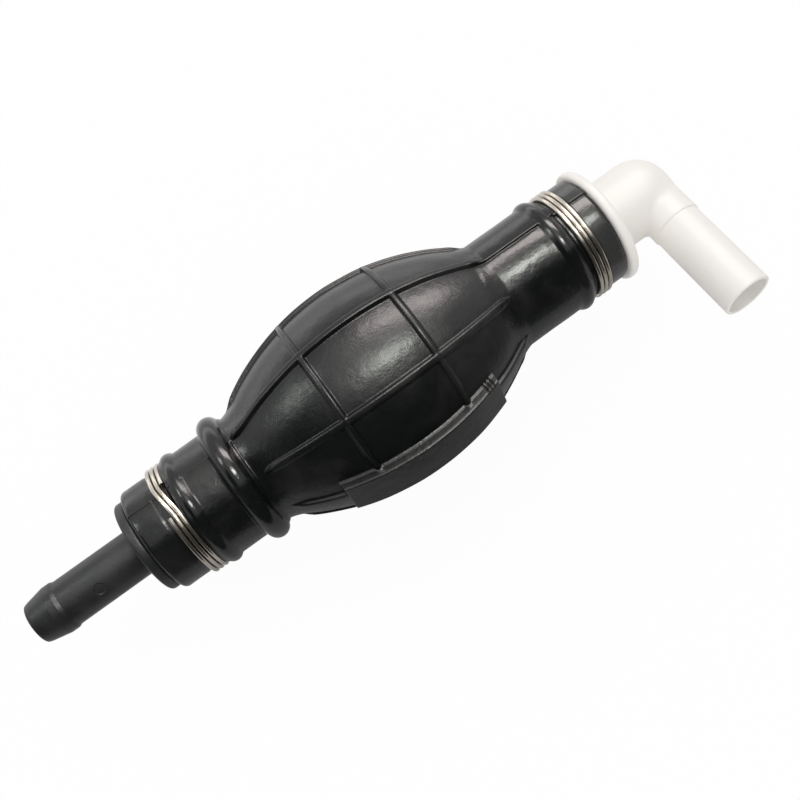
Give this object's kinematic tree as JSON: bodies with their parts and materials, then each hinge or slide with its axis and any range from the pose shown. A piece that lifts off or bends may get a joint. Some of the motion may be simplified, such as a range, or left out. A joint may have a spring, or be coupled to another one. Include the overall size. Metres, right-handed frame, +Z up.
{
  "type": "siphon bulb pump",
  "caption": "Hand-squeezed ribbed rubber priming bulb with a straight inlet hose tail, a right-angle outlet hose tail and a check valve in each neck",
  "frame": {"origin": "centre of the mouth of the inlet hose tail", "axes": "+X runs along the pump from inlet to outlet, the outlet tail leaves along -Y, +Z is up"},
  "size_m": [0.1738, 0.0591, 0.048],
  "materials": {
    "bulb_rubber": "semi-gloss moulded nitrile rubber, lightly scuffed",
    "black_plastic": "fine spark-eroded texture, glass-filled nylon",
    "white_plastic": "smooth moulded acetal, warm white",
    "clamp_wire": "bright drawn wire, nickel plated",
    "valve_plastic": "natural acetal",
    "seal_rubber": "matt nitrile",
    "spring_steel": "stainless spring wire"
  },
  "bodies": {
    "pump_body": {"bulb": "bulb_rubber", "inlet_fitting": "black_plastic", "inlet_clamp": "clamp_wire", "outlet_clamp": "clamp_wire", "inlet_valve_seat": "valve_plastic", "inlet_valve_cage": "valve_plastic", "inlet_valve_spring": "spring_steel"},
    "inlet_poppet": {"inlet_valve_poppet": "valve_plastic", "inlet_valve_seal": "seal_rubber"},
    "elbow": {"outlet_elbow": "white_plastic", "outlet_valve_seat": "valve_plastic", "outlet_valve_cage": "valve_plastic", "outlet_valve_spring": "spring_steel"},
    "outlet_poppet": {"outlet_valve_poppet": "valve_plastic", "outlet_valve_seal": "seal_rubber"}
  },
  "joints": [
    {"name": "inlet_valve_lift", "type": "slide", "parent": "pump_body", "child": "inlet_poppet", "axis": [1, 0, 0], "range_m": [0, 0.0025], "stiffness_N_per_m": 60, "springref_m": -0.002, "deforming": ["inlet_valve_spring"]},
    {"name": "elbow_turn", "type": "hinge", "parent": "pump_body", "child": "elbow", "pos_m": [0.142, 0, 0], "axis": [1, 0, 0], "continuous": true},
    {"name": "outlet_valve_lift", "type": "slide", "parent": "elbow", "child": "outlet_poppet", "axis": [1, 0, 0], "range_m": [0, 0.0025], "stiffness_N_per_m": 60, "springref_m": -0.002, "deforming": ["outlet_valve_spring"]}
  ]
}
